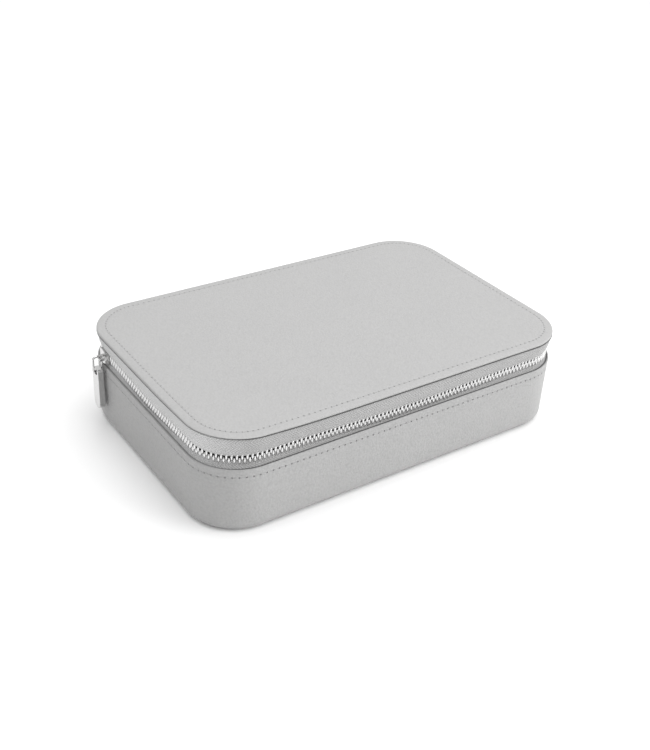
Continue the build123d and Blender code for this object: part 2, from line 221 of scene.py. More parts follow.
def skin_from_grid(name, grid, uv, wrap_rows=False, wrap_columns=False, caps=(), poles=()):
    """A surface through a grid of points. uv has the wrapped row or column written out.
    caps closes the first and last column of an open sweep with one face each; poles closes
    the first and last row to a point, given as that point."""
    rows, columns = grid.shape[:2]
    quads, corners = grid_faces(rows, columns, wrap_rows, wrap_columns)
    vertices = grid.reshape(-1, 3)
    faces = quads.tolist()
    loops = [uv.reshape(-1, 2)[corners].reshape(-1, 2)]
    for column in caps:
        ring = [row * columns + (column % columns) for row in range(rows)]
        faces.append(ring if column else ring[::-1])
        edge = uv[:rows, column]
        loops.append(edge if column else edge[::-1])
    for end, point in poles:
        vertices = np.vstack([vertices, point])
        start = (end % rows) * columns
        pair = [start + np.arange(columns), start + (np.arange(columns) + 1) % columns]
        sides = [uv[end, :columns], uv[end, 1 : columns + 1]]
        centre = (sides[0] + sides[1]) / 2
        turn = 1 if end else -1
        tip = np.full(columns, len(vertices) - 1)
        faces.extend(np.stack([*pair[::turn], tip], -1).tolist())
        loops.append(np.stack([*sides[::turn], centre], 1).reshape(-1, 2))
    piece = new_piece(name, vertices, faces, np.vstack(loops))
    face_outwards(piece)
    return piece


def along_profile(profile):
    """Length walked along a profile of (inset, height) points, one value for each point."""
    steps = np.linalg.norm(np.diff(profile, axis=0), axis=-1)
    return np.concatenate([[0.0], np.cumsum(steps)])


def carried(profile, stations):
    """Insets, heights and distances of a profile's points at every station: one row for each
    point of the profile, one column for each station."""
    distance, inset = np.meshgrid(stations, profile[:, 0])
    height = np.repeat(profile[:, 1][:, None], len(stations), 1)
    return inset, height, distance


def swept_ring(name, profile, stations, wobble=None, lift=None):
    """A closed profile of (inset, height) points carried once round the case.
    Each point is the case's outline moved in by the inset and lifted to the height; wobble adds
    a small shift of the inset that depends on the distance walked and the height, and lift a
    shift of the height that depends on the place."""
    inset, height, distance = carried(profile, stations)
    if wobble is not None:
        inset = inset - wobble(distance, height)
    point, _ = CASE.walk(distance, inset)
    if lift is not None:
        height = height + lift(point[..., 0], point[..., 1])
    grid = np.concatenate([point, height[..., None]], -1)
    walked = along_profile(np.vstack([profile, profile[:1]]))
    u, v = np.meshgrid(np.append(stations, CASE.length()), walked)
    return skin_from_grid(name, grid, np.stack([u, v], -1), wrap_rows=True, wrap_columns=True)


def arc(centre, radius, start, end, count):
    """Points of a circular arc from one angle to another, in degrees."""
    angle = np.radians(np.linspace(start, end, count))
    return np.stack([centre[0] + radius * np.cos(angle), centre[1] + radius * np.sin(angle)], -1)


def straight(start, end, count):
    """Evenly spaced points between two points, the last left out."""
    share = np.arange(count)[:, None] / count
    return np.array(start) * (1 - share) + np.array(end) * share


def bump_at(value, middle, width):
    """A bell of height 1: e to the minus square of the distance over the width."""
    return np.exp(-(((value - middle) / width) ** 2))


def ripple(a, b, seed):
    """Soft unevenness between -1 and 1: the mean of five sine waves of random direction."""
    draw = np.random.default_rng(seed)
    total = 0.0
    for _ in range(5):
        wave_a, wave_b = draw.uniform(-1, 1, 2) * 2 * math.pi / (55 * MM)
        total = total + np.sin(wave_a * a + wave_b * b + draw.uniform(0, 2 * math.pi))
    return total / 5


def pillow(name, plan, profile, stations, shift=None, inner_rows=10):
    """A closed slab: profile rows of (inset, height) from its underside round its edge to its top,
    each row a ring of the plan. Inside the first and last ring, more rings shrink evenly to the
    middle. shift moves points up or down by a function of their place."""
    inset, height, distance = carried(profile, stations)
    point, _ = plan.walk(distance, inset)
    rings = np.concatenate([point, height[..., None]], -1)
    middle = np.array([*plan.centre, 0.0])
    shares = np.arange(1, inner_rows)[:, None, None] / inner_rows
    flat = np.array([1.0, 1.0, 0.0])
    below = rings[0] - (rings[0] - middle) * flat * (1 - shares)
    above = rings[-1] - (rings[-1] - middle) * flat * shares
    grid = np.concatenate([below, rings, above])
    bottom = np.array([*plan.centre, rings[0, 0, 2]])
    top = np.array([*plan.centre, rings[-1, 0, 2]])
    if shift is not None:
        grid[..., 2] += shift(grid[..., 0], grid[..., 1], grid[..., 2])
        bottom[2] += shift(bottom[0], bottom[1], bottom[2])
        top[2] += shift(top[0], top[1], top[2])
    flat_inset = np.concatenate(
        [np.full(inner_rows - 1, 1.0), profile[:, 0], np.full(inner_rows - 1, 1.0)]
    )
    u, v = np.meshgrid(np.append(stations, plan.length()), flat_inset)
    uv = np.stack([u, v], -1)
    return skin_from_grid(name, grid, uv, wrap_columns=True, poles=((0, bottom), (-1, top)))


def round_edge(inset, bottom, top, radius, count=5):
    """Profile of a slab's edge at an inset: two quarter arcs of the radius with the wall between."""
    under = arc((inset + radius, bottom + radius), radius, 270, 180, count)
    over = arc((inset + radius, top - radius), radius, 180, 90, count)
    return np.vstack([under, over])


def oval_thread(half_length, half_width, half_height):
    """A stitch: rings of six points whose radius follows the square root of one minus the
    square of the place along it, with a point at each end. Returns vertices and faces."""
    place = np.array([-0.75, -0.25, 0.25, 0.75])
    radius = np.sqrt(1 - place**2)
    turn = np.arange(6) * math.pi / 3
    rings = np.stack(
        [
            np.repeat(place[:, None] * half_length, 6, 1),
            radius[:, None] * np.cos(turn) * half_width,
            radius[:, None] * np.sin(turn) * half_height,
        ],
        -1,
    ).reshape(-1, 3)
    vertices = np.vstack([rings, [[-half_length, 0, 0], [half_length, 0, 0]]])
    quads, _ = grid_faces(4, 6, False, True)
    faces = quads.tolist()
    for j in range(6):
        faces.append([j, (j + 1) % 6, 24])
        faces.append([18 + (j + 1) % 6, 18 + j, 25])
    return vertices, faces


def repeated(name, template, origins, axes):
    """Copies of a template. Each copy's vertices are its origin plus the template's coordinates
    along that copy's own three axes."""
    vertices, faces = template
    placed = origins[:, None, :] + np.einsum("vk,nkc->nvc", vertices, axes)
    count = len(vertices)
    all_faces = []
    for number in range(len(origins)):
        all_faces.extend([[index + number * count for index in face] for face in faces])
    piece = new_piece(name, placed.reshape(-1, 3), all_faces)
    face_outwards(piece)
    return piece


def frames_on(distance, inset, height, reference):
    """Origins round the case and, at each, axes along the walk, outwards and up. Distances are
    walked on the outline at the reference inset."""
    point, normal = CASE.walk(distance, np.full(len(distance), inset), reference)
    origins = np.concatenate([point, np.broadcast_to(height, len(distance))[:, None]], -1)
    up = np.tile([0.0, 0.0, 1.0], (len(distance), 1))
    outward = np.concatenate([normal, np.zeros((len(distance), 1))], -1)
    along = np.cross(outward, up)
    return origins, np.stack([along, outward, up], 1)


# ------------------------------------------------------------------ finishes
class Field:
    """A number that varies over a surface. Arithmetic on it adds Math nodes to its finish."""

    def __init__(self, finish, socket):
        self.finish = finish
        self.socket = socket

    def math(self, operation, other=0.0, flip=False):
        first, second = (other, self) if flip else (self, other)
        return self.finish.add("ShaderNodeMath", {"operation": operation}, {0: first, 1: second})

    def __add__(self, other):
        return self.math("ADD", other)

    def __radd__(self, other):
        return self.math("ADD", other)

    def __sub__(self, other):
        return self.math("SUBTRACT", other)

    def __rsub__(self, other):
        return self.math("SUBTRACT", other, flip=True)

    def __mul__(self, other):
        return self.math("MULTIPLY", other)

    def __rmul__(self, other):
        return self.math("MULTIPLY", other)

    def __truediv__(self, other):
        return self.math("DIVIDE", other)

    def absolute(self):
        return self.math("ABSOLUTE")

    def sine(self):
        return self.math("SINE")

    def fraction(self):
        return self.math("FRACT")

    def power(self, exponent):
        return self.math("POWER", exponent)


class Finish:
    """A node material. add() makes one node from its type, its settings and its inputs."""

    def __init__(self, name, roughness=0.6, metallic=0.0, sheen=0.0, specular=0.5):
        self.material = bpy.data.materials.new(name)
        self.material.use_nodes = True
        self.tree = self.material.node_tree
        self.shader = self.tree.nodes["Principled BSDF"]
        self.shader.inputs["Roughness"].default_value = roughness
        self.shader.inputs["Metallic"].default_value = metallic
        self.shader.inputs["Sheen Weight"].default_value = sheen
        self.shader.inputs["Sheen Roughness"].default_value = 0.5
        self.shader.inputs["Specular IOR Level"].default_value = specular

    def add(self, kind, settings=None, inputs=None, output=0):
        node = self.tree.nodes.new(kind)
        for key, value in (settings or {}).items():
            setattr(node, key, value)
        for key, value in (inputs or {}).items():
            self.feed(node.inputs[key], value)
        return Field(self, node.outputs[output])

    def feed(self, socket, value):
        if isinstance(value, Field):
            self.tree.links.new(value.socket, socket)
        else:
            socket.default_value = value

    def place(self):
        return self.add("ShaderNodeTexCoord", output="Object")

    def uv(self):
        """The piece's own UV map, as two numbers in metres."""
        both = self.add("ShaderNodeTexCoord", output="UV")
        u = self.add("ShaderNodeSeparateXYZ", {}, {0: both}, 0)
        v = self.add("ShaderNodeSeparateXYZ", {}, {0: both}, 1)
        return u, v

    def left_light_mask(self):
        """Mask for painted light: 0 over most of the case, rising evenly to 1 over the last
        centimetres to its left, where colours are painted lighter and painted shade weaker.
        """
        x = self.add("ShaderNodeSeparateXYZ", {}, {0: self.place()}, 0)
        share = (x * -1 - (HALF_X - 22 * MM)) / (18 * MM)
        return share.math("MAXIMUM", 0.0).math("MINIMUM", 1.0)

    def noise(self, size, detail=3.0, stretch=None):
        """Cloudy noise between 0 and 1 whose lumps are about the size given, in metres."""
        where = self.place()
        if stretch:
            where = self.add("ShaderNodeMapping", {}, {"Vector": where, "Scale": stretch})
        inputs = {"Vector": where, "Scale": 1 / size, "Detail": detail}
        return self.add("ShaderNodeTexNoise", {}, inputs)

    def cells(self, size, smoothness=0.4):
        """Distance to the nearest of scattered points a size apart: pebbles when turned over."""
        settings = {"feature": "SMOOTH_F1"}
        inputs = {"Vector": self.place(), "Scale": 1 / size, "Smoothness": smoothness}
        return self.add("ShaderNodeTexVoronoi", settings, inputs)

    def mix(self, factor, first, second):
        """A colour between two colours."""
        inputs = {0: factor, 6: first, 7: second}
        return self.add("ShaderNodeMix", {"data_type": "RGBA"}, inputs, 2)

    def colour(self, value):
        self.feed(self.shader.inputs["Base Color"], value)

    def roughness(self, value):
        self.feed(self.shader.inputs["Roughness"], value)

    def bump(self, height, depth):
        """Relief from a height field: depth is how far a height of 1 stands up, in metres."""
        inputs = {"Strength": 1.0, "Distance": depth, "Height": height}
        self.feed(self.shader.inputs["Normal"], self.add("ShaderNodeBump", {}, inputs))


def grey(level, warmth=0.0):
    """A linear colour of one brightness, a little warmer or cooler than neutral."""
    return (level * (1 + warmth), level, level * (1 - warmth), 1.0)


def faux_leather(name, grain=1.0, stitch_pitch=None, stitch_line=None, depth=0.0):
    """Coated fabric: pebbles about a millimetre across over a finer tooth, with painted shade in the
    valleys of the grain, a faint cloudiness, and, on a stitched piece, a needle hole midway between
    stitches with painted shade in it, weaker on the left as painted light; depth sets how dark."""
    finish = Finish(name, specular=0.35)
    pebble = 1 - finish.cells(1.3 * MM, 0.25)
    crease = finish.noise(1.9 * MM, 3.0, (0.5, 0.5, 1.9))
    tooth = finish.noise(0.3 * MM, 2.0)
    cloud = finish.noise(26 * MM, 3.0)
    height = pebble * 0.7 + crease * 0.6 + tooth * 0.2
    shade = finish.mix(cloud, grey(LEATHER * 0.975, 0.003), grey(LEATHER * 1.025, 0.004))
    # Painted shade in the valleys of the grain, stronger with more grain.
    valley = (1.05 - height) * 0.75 * grain
    shade = finish.mix(valley, shade, grey(LEATHER * 0.72, 0.003))
    if stitch_pitch:
        u, v = finish.uv()
        from_hole = ((u / stitch_pitch).fraction() - 0.5).absolute() * stitch_pitch
        from_line = (v - stitch_line).absolute()
        reach = (from_hole * from_hole + from_line * from_line).power(0.5)
        hole = 1 - (reach / (0.62 * MM)).math("MINIMUM", 1.0)
        soft = (hole * 1.8).math("MINIMUM", 1.0)
        # Painted shade in the needle holes, made weaker towards the left end as painted light.
        strength = soft * depth * (1 - finish.left_light_mask() * 0.7)
        shade = finish.mix(strength, shade, grey(LEATHER * 0.22))
        height = height - hole * 3.0
    finish.colour(shade)
    finish.roughness(0.50 + pebble * 0.12)
    finish.bump(height, 0.3 * MM * grain)
    return finish.material


def zip_tape_cloth(name, level, left_lit_level):
    """Herringbone tape: fine ribs that lean one way in one column and the other way in the next,
    columns running along the tape, with the yarns' small shadows painted between them. Along the
    left side the colour is painted lighter, to another level: painted light."""
    finish = Finish(name, roughness=0.8, sheen=0.15, specular=0.25)
    u, v = finish.uv()
    column = 2.6 * MM
    side = ((v / (2 * column)).fraction() - 0.5).absolute() * (2 * column)
    rib = ((u + side * 1.3) / (1.7 * MM) * 2 * math.pi).sine()
    yarn = (v / (0.5 * MM) * 2 * math.pi).sine()
    height = rib * 0.5 + yarn * 0.12 + finish.noise(0.3 * MM, 2.0) * 0.5
    cloud = finish.noise(14 * MM, 2.0)
    valley = (1 - height) * 0.42
    shade = finish.mix(cloud, grey(level * 0.96, 0.004), grey(level * 1.04, 0.006))
    shade = finish.mix(valley, shade, grey(level * 0.5))
    # Painted light: the lighter colour used along the left side.
    left_painted_light = finish.mix(valley, grey(left_lit_level), grey(left_lit_level * 0.6))
    finish.colour(finish.mix(finish.left_light_mask(), shade, left_painted_light))
    finish.bump(height, 0.2 * MM)
    return finish.material


def polished_metal(name, level, blur):
    """Nickel plating: mirror bright, with faint smears and hairline marks in its roughness."""
    finish = Finish(name, metallic=1.0)
    smear = finish.noise(3 * MM, 3.0)
    line = finish.noise(0.25 * MM, 1.0, (1.0, 1.0, 0.15))
    finish.colour(finish.mix(smear, grey(level * 0.96, 0.004), grey(level * 1.04, 0.002)))
    finish.roughness(blur + smear * 0.08 + line * 0.06)
    finish.bump(line, 0.004 * MM)
    return finish.material


def velvet(name, level):
    """Short pile: bright at grazing angles, brushed a little lighter and darker in patches."""
    finish = Finish(name, roughness=0.95, sheen=0.55, specular=0.1)
    brushed = finish.noise(11 * MM, 4.0)
    pile = finish.noise(0.28 * MM, 2.0)
    shade = finish.mix(brushed, grey(level * 0.86, 0.01), grey(level * 1.12, 0.01))
    finish.colour(finish.mix(pile * 0.35, shade, grey(level * 0.7, 0.01)))
    finish.bump(pile + brushed * 0.6, 0.09 * MM)
    return finish.material


def pocket_cloth(name, level):
    """Fine plain-woven lining cloth."""
    finish = Finish(name, roughness=0.7, sheen=0.25, specular=0.25)
    u, v = finish.uv()
    weave = (u / (0.45 * MM) * 2 * math.pi).sine() * (v / (0.45 * MM) * 2 * math.pi).sine()
    cloud = finish.noise(18 * MM, 2.0)
    shade = finish.mix(cloud, grey(level * 0.95, 0.01), grey(level * 1.05, 0.01))
    finish.colour(finish.mix((weave * 0.5 + 0.5) * 0.16, shade, grey(level * 0.7, 0.01)))
    finish.bump(weave, 0.03 * MM)
    return finish.material


def ribbed_elastic(name, level):
    """Elastic band: cords side by side along it, crossed by fine yarn."""
    finish = Finish(name, roughness=0.75, sheen=0.2, specular=0.25)
    u, v = finish.uv()
    cord = (v / (1.0 * MM) * 2 * math.pi).sine()
    yarn = (u / (0.5 * MM) * 2 * math.pi).sine()
    height = cord * 0.6 + yarn * 0.3
    # Painted shade in the grooves between the cords and yarns.
    finish.colour(finish.mix((1 - height) * 0.15, grey(level, 0.01), grey(level * 0.55)))
    finish.bump(height, 0.1 * MM)
    return finish.material


def fibre_board(name, level):
    """Pressed board: flecks and a faint rubbed sheen."""
    finish = Finish(name, roughness=0.82, specular=0.3)
    fleck = finish.noise(1.6 * MM, 4.0)
    patch = finish.noise(22 * MM, 2.0)
    shade = finish.mix(patch, grey(level * 0.92, 0.02), grey(level * 1.08, 0.02))
    finish.colour(finish.mix(fleck * 0.4, shade, grey(level * 0.65, 0.03)))
    finish.bump(fleck, 0.04 * MM)
    return finish.material


def seam_shadow_finish(name, level):
    """Painted shadow for the dark gap at a seam: dark and matt, a little uneven, and blended part
    way towards the leather's colour along the left, painted light there.
    """
    finish = Finish(name, roughness=0.85, specular=0.2)
    patch = finish.noise(1.5 * MM, 3.0)
    dark = finish.mix(patch, grey(level * 0.7), grey(level * 1.3))
    # Painted light: the painted shadow fades towards the leather's colour at the left end.
    finish.colour(finish.mix(finish.left_light_mask() * 0.5, dark, grey(LEATHER)))
    finish.bump(patch, 0.03 * MM)
    return finish.material


def thread(name, level):
    """Twisted sewing thread."""
    finish = Finish(name, roughness=0.6, specular=0.35)
    twist = finish.noise(0.3 * MM, 1.0)
    finish.colour(finish.mix(twist, grey(level * 0.85), grey(level * 1.08)))
    finish.bump(twist, 0.02 * MM)
    return finish.material


# ------------------------------------------------------------------ pieces
ZIP_START = SPINE_HALF + 0.15 * MM
ZIP_END = CASE.length(CHAIN_INSET) - ZIP_START
SLIDER_AT = CASE.lengths(CHAIN_INSET)[:7].sum() - (CASE.run_y - SLIDER_Y)
LID_PITCH = CASE.length() / round(CASE.length() / LID_STITCH_PITCH)
BASE_PITCH = CASE.length() / round(CASE.length() / BASE_STITCH_PITCH)


def settle(piece, body, material, *nodes, slot=None):
    """Gives a piece its finish and its body, and hides the CAD nodes that it stands for."""
    piece.data.materials.clear()
    piece.data.materials.append(material)
    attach(piece, body)
    if nodes:
        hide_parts(*nodes)


def parted(distance):
    """How far a row of teeth stands back from the meshed line: a smooth step, three times the
    square less twice the cube of the share of the ramp walked, times the parting."""
    share = np.clip((distance - SLIDER_AT + PARTING_LEAD) / PARTING_RAMP, 0, 1)
    return PARTING * share**2 * (3 - 2 * share)


def sag(distance):
    """How far the chain hangs below its height at the corners: on each side the square of a
    sine of the share walked, from 0 at its corners to the side's own sag in its middle."""
    lengths = CASE.lengths(CHAIN_INSET)
    starts = np.concatenate([[0.0], np.cumsum(lengths)])
    total = 0.0
    for stretch, amount, spare in ((2, SAG_SIDE, 0.0), (4, SAG_FRONT, 0.0), (6, SAG_SIDE, 8 * MM)):
        share = np.clip((distance - starts[stretch]) / (lengths[stretch] - spare), 0, 1)
        total = total + amount * np.sin(math.pi * share) ** 2
    return total


def corner_lift(x, y):
    """How far the stiff tape pushes the lid's front left corner up: a bell over that corner."""
    away = np.hypot(x + HALF_X - 12 * MM, y + HALF_Y - 12 * MM)
    return LIFTED_CORNER * np.exp(-((away / (34 * MM)) ** 2))


def rim_lift(x, y):
    """The same for the lid's thin rim, which stands up further than the lid's top."""
    return RIM_LIFT * corner_lift(x, y)


def lid_height(inset):
    """Top of the lid at an inset: a crown that rises as a quarter sine over its run, with the
    bell-shaped groove that the stitching pulls into it."""
    share = np.clip(inset / CROWN_RUN, 0, 1)
    rise = (LID_HIGH - LID_LOW - LID_SHOULDER) * np.sin(share * math.pi / 2)
    groove = LID_GROOVE * bump_at(inset, LID_STITCH_INSET, 0.6 * MM)
    return LID_LOW + LID_SHOULDER + rise - groove


def make_lid_top():
    """Padded lid top: a flat underside, a rolled edge that is an arc in section, the crown of
    lid_height, and a gentle ripple of a tenth of a millimetre over the middle."""
    rim = LID_LOW + LID_RIM
    radius = (LID_LOW + LID_SHOULDER - rim) / 2
    under = straight((14 * MM, LID_LOW), (5 * MM, LID_LOW), 3)
    rising = straight((5 * MM, LID_LOW), (radius, rim), 4)
    edge = arc((radius + RIM_BACK, rim + radius), radius, 270, 90, 15)
    insets = np.concatenate(
        [np.linspace(1.4, 4.3, 6), np.linspace(4.6, 6.4, 9), np.linspace(7.0, 12.0, 5)]
    )
    over = np.stack([insets * MM, lid_height(insets * MM)], -1)

    def shift(x, y, z):
        on_top = np.clip((z - LID_LOW - LID_SHOULDER) / (0.3 * MM), 0, 1)
        on_rim = np.clip((LID_LOW + LID_SHOULDER - z) / (LID_SHOULDER - LID_RIM), 0, 1)
        lifted = corner_lift(x, y) * (1 + (RIM_LIFT - 1) * on_rim)
        return lifted + on_top * LID_RIPPLE * ripple(x, y, SEED)

    profile = np.vstack([under, rising, edge, over])
    return pillow("lid_top", CASE, profile, CASE.stations(4 * MM, 1.2 * MM), shift, 14)


def make_wall_skin():
    """Cover of the base wall: down the outside from its turned top edge, round the foot in a
    quarter arc, under the floor as a hem, and back up on the inside of its own thickness."""
    edge = EDGE_FOLD / 2
    drops = np.concatenate(
        [np.linspace(0.5, 3.6, 7), np.linspace(3.8, 5.8, 11), np.linspace(6.4, 35.6, 14)]
    )
    depth = WALL_GROOVE * bump_at(drops * MM, BASE_STITCH_DROP, 0.55 * MM)
    outside = np.stack([depth, BASE_TOP - drops * MM], -1)
    foot = arc((FOOT, FOOT), FOOT, 180, 270, 10)
    hem = straight((FOOT + 2 * MM, 0.0), (HEM, 0.0), 3)
    hem_end = arc((HEM, SKIN / 2), SKIN / 2, 270, 450, 5)
    inner_foot = arc((FOOT, FOOT), FOOT - SKIN, 270, 180, 8)
    inner = straight((SKIN, 12 * MM), (SKIN, BASE_TOP - SKIN), 4)
    fold = arc((edge, BASE_TOP - edge), edge, 0, 170, 10)
    profile = np.vstack([outside, foot, hem, hem_end, inner_foot, inner, fold])

    def wobble(distance, height):
        on_wall = bump_at(height, BASE_TOP / 2, 14 * MM)
        return on_wall * WALL_RIPPLE * (ripple(distance, height, SEED + 1) - 1)

    return swept_ring("wall_skin", profile, CASE.stations(4 * MM, 1.2 * MM), wobble)


def make_shadow_line(name, outer, inner, bottom, top, lift=None):
    """A thin dark bar round the case that stands for the shadow in a seam's gap, a painted shadow: a
    rounded bar between two insets and two heights.
    """
    half = (top - bottom) / 2
    near = arc((outer + half, bottom + half), half, 270, 90, 6)
    far = arc((inner - half, bottom + half), half, 90, -90, 6)
    stations = CASE.stations(5 * MM, 1.5 * MM)
    return swept_ring(name, np.vstack([near, far]), stations, lift=lift)


def swept_strip(name, profile, lift):
    """A closed profile of (inset, height) points carried along the zip between its two ends.
    Distances are walked on the middle line of the chain; lift adds a height that depends on the
    distance, on the point's own height and on its place."""
    stations = np.linspace(ZIP_START, ZIP_END, 560)
    inset, height, distance = carried(profile, stations)
    point, _ = CASE.walk(distance, inset, CHAIN_INSET)
    height = height + lift(distance, height, point)
    grid = np.concatenate([point, height[..., None]], -1)
    walked = along_profile(np.vstack([profile, profile[:1]]))
    u, v = np.meshgrid(stations, walked)
    return skin_from_grid(name, grid, np.stack([u, v], -1), wrap_rows=True, caps=(0, -1))


def make_upper_tape():
    """Tape of the lid: it hangs from under the rim and tucks in towards the chain, by the cube of
    the share still to rise; it hangs with the chain, and behind the slider its lower edge rises
    with the teeth."""
    foot = CHAIN_Z + ROOT - 0.8 * MM
    head = LID_LOW + LID_RIM
    share = np.linspace(0, 1, 14)
    outer = TAPE_FLARE + (TAPE_OUT - 0.1 * MM - TAPE_FLARE) * (1 - share) ** 3
    height = foot + (head - foot) * share
    edge = np.array([[outer[0] + TAPE / 2, foot - 0.2 * MM]])
    back = np.stack([outer + TAPE, height], -1)[::-1]
    profile = np.vstack([np.stack([outer, height], -1), back, edge])

    def lift(distance, level, point):
        free = np.clip((head - level) / (head - foot), 0, 1)
        held = rim_lift(point[..., 0], point[..., 1]) * (1 - free)
        return (parted(distance) - sag(distance)) * free + held

    return swept_strip("upper_tape", profile, lift)


def make_lower_tape():
    """Tape of the base: from under the wall's folded edge it leans in by a quarter sine of the
    share risen, and ends upright behind the teeth; it hangs with the chain, and behind the
    slider its upper edge drops with the teeth."""
    top = CHAIN_Z - 0.95 * MM
    seam = BASE_TOP - 0.75 * MM
    share = np.linspace(0, 1, 14)
    first = EDGE_FOLD + 0.15 * MM
    last = TAPE_OUT + 0.05 * MM
    outer = first + (last - first) * np.sin(np.clip(share * 1.6, 0, 1) * math.pi / 2)
    height = seam + (top - seam) * share
    face = np.stack([outer, height], -1)
    back = np.stack([outer + TAPE - 0.1 * MM, height - 0.2 * MM * (1 - share)], -1)[::-1]
    profile = np.vstack([face, back])

    def lift(distance, level, _):
        free = np.clip((level - seam) / (top - seam), 0, 1)
        return -(parted(distance) + sag(distance)) * free

    return swept_strip("lower_tape", profile, lift)


def tooth():
    """One tooth pointing down: eight-sided sections with clipped corners, stacked from the legs
    that grip the tape to the rounded nose. Returns vertices and faces."""
    height = np.array([2.75, 2.45, 0.7, 0.1, -0.45, -0.78]) * MM
    half_width = np.array([0.48, 0.62, 0.62, 0.56, 0.42, 0.20]) * MM
    half_depth = np.array([0.75, 1.02, 1.08, 1.02, 0.88, 0.55]) * MM
    corner = np.array([1.0, 1.0, 0.5, -0.5, -1.0, -1.0, -0.5, 0.5])
    side = np.array([-0.45, 0.45, 1.0, 1.0, 0.45, -0.45, -1.0, -1.0])
    across = side[None, :] * half_width[:, None]
    through = corner[None, :] * half_depth[:, None]
    level = np.repeat(height[:, None], 8, 1)
    vertices = np.stack([across, through, level], -1).reshape(-1, 3)
    quads, _ = grid_faces(6, 8, False, True)
    faces = [*quads.tolist(), list(range(8)), list(range(47, 39, -1))]
    return vertices, faces


def make_teeth(name, side, first):
    """A row of teeth a pitch apart, turned to the walk; side is 1 for the lid's row, and -1 for
    the base's, whose teeth point up. Behind the slider the row stands back by parted."""
    last = ZIP_END - ZIP_START - 0.49 * TOOTH_PITCH
    distance = ZIP_START + np.arange(first * TOOTH_PITCH, last, TOOTH_PITCH)
    height = CHAIN_Z - sag(distance) + side * parted(distance)
    origins, axes = frames_on(distance, CHAIN_INSET, height, CHAIN_INSET)
    vertices, faces = tooth()
    return repeated(name, (vertices * np.array([1, 1, side]), faces), origins, axes)


def make_stitches(name, plan_inset, height, pitch, lift=None):
    """Threads a pitch apart round the case, lying along the walk."""
    count = round(CASE.length() / pitch)
    distance = np.arange(count) * pitch
    origins, axes = frames_on(distance, plan_inset, height, 0.0)
    if lift is not None:
        origins[:, 2] += lift(origins[:, 0], origins[:, 1])
    return repeated(name, oval_thread(*THREAD_HALF_SIZE), origins, axes)


def rounded_copy(name, node, bevel, segments):
    """A merged copy of a CAD node whose edges are rounded, for metal that catches the light."""
    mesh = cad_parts[node].data.copy()
    mesh.name = name
    shape = bmesh.new()
    shape.from_mesh(mesh)
    bmesh.ops.remove_doubles(shape, verts=shape.verts, dist=1e-6)
    bmesh.ops.dissolve_limit(
        shape, angle_limit=math.radians(2), verts=shape.verts, edges=shape.edges
    )
    bmesh.ops.recalc_face_normals(shape, faces=shape.faces)
    shape.to_mesh(mesh)
    shape.free()
    mesh.polygons.foreach_set("use_smooth", np.full(len(mesh.polygons), True))
    piece = bpy.data.objects.new(name, mesh)
    bpy.context.scene.collection.objects.link(piece)
    round_off = piece.modifiers.new("Bevel", "BEVEL")
    round_off.width = bevel
    round_off.segments = segments
    round_off.limit_method = "ANGLE"
    round_off.angle_limit = math.radians(32)
    piece.modifiers.new("Weighted normals", "WEIGHTED_NORMAL").keep_sharp = True
    return piece


def tube(name, path, sideways, radius, sides, closed=False):
    """A round wire along a path that lies in one plane, whose normal is sideways. Each section
    is a circle spanned by that normal and by its cross product with the path's direction."""
    path = np.asarray(path, float)
    if closed:
        ahead = np.roll(path, -1, 0) - np.roll(path, 1, 0)
    else:
        ahead = np.gradient(path, axis=0)
    ahead = ahead / np.linalg.norm(ahead, axis=-1, keepdims=True)
    sideways = np.asarray(sideways, float)
    third = np.cross(ahead, sideways)
    turn = np.arange(sides) * 2 * math.pi / sides
    across = np.cos(turn)[None, :, None] * sideways
    upward = np.sin(turn)[None, :, None] * third[:, None, :]
    grid = path[:, None, :] + radius * (across + upward)
    walked = along_profile(np.vstack([path, path[:1]]) if closed else path)
    u, v = np.meshgrid(np.arange(sides + 1) * radius * 2 * math.pi / sides, walked)
    ends = () if closed else ((0, path[0]), (-1, path[-1]))
    uv = np.stack([u, v], -1)
    return skin_from_grid(name, grid, uv, wrap_rows=closed, wrap_columns=True, poles=ends)


def make_link():
    """The pull's ring: wire round a rectangle with rounded corners, in the plane across Y."""
    lowest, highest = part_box("pull_link")
    middle_x = (lowest.x + highest.x) / 2
    middle_z = (lowest.z + highest.z) / 2
    half_x = (highest.x - lowest.x) / 2 - LINK_WIRE
    half_z = (highest.z - lowest.z) / 2 - LINK_WIRE
    loop = Plan(half_x, half_z, 1.7 * MM, (middle_x, middle_z))
    stations = loop.stations(1.0 * MM, 0.35 * MM)
    flat, _ = loop.walk(stations, np.zeros(len(stations)))
    path = np.stack([flat[:, 0], np.full(len(stations), SLIDER_Y), flat[:, 1]], -1)
    return tube("link_ring", path, (0, 1, 0), LINK_WIRE, 14, closed=True)


def make_spine_strip():
    """Covered cloth hinge: up inside the rear wall, out over its edge in a smooth step, then
    up to the lid's edge. The inset is the upper one plus the difference times a smooth fall."""
    height = np.linspace(TAPE_LOW, LID_LOW - 0.05 * MM, 40)
    share = np.clip((height - BASE_TOP + 0.5 * MM) / (4.0 * MM), 0, 1)
    step = share**2 * (3 - 2 * share)
    outer = TAPE_OUT + (SPINE_REAR_INSET - TAPE_OUT) * step
    face = np.stack([outer, height], -1)
    back = np.stack([outer + SPINE_THICK, height], -1)[::-1]
    profile = np.vstack([face, back])
    along = np.linspace(-SPINE_HALF, SPINE_HALF, 86)
    inset, level, x = carried(profile, along)
    slack = LINING_RIPPLE * ripple(x, level, SEED + 2)
    grid = np.stack([x, HALF_Y - inset - slack, level], -1)
    walked = along_profile(np.vstack([profile, profile[:1]]))
    u, v = np.meshgrid(along, walked)
    uv = np.stack([u, v], -1)
    return skin_from_grid("spine_strip", grid, uv, wrap_rows=True, caps=(0, -1))


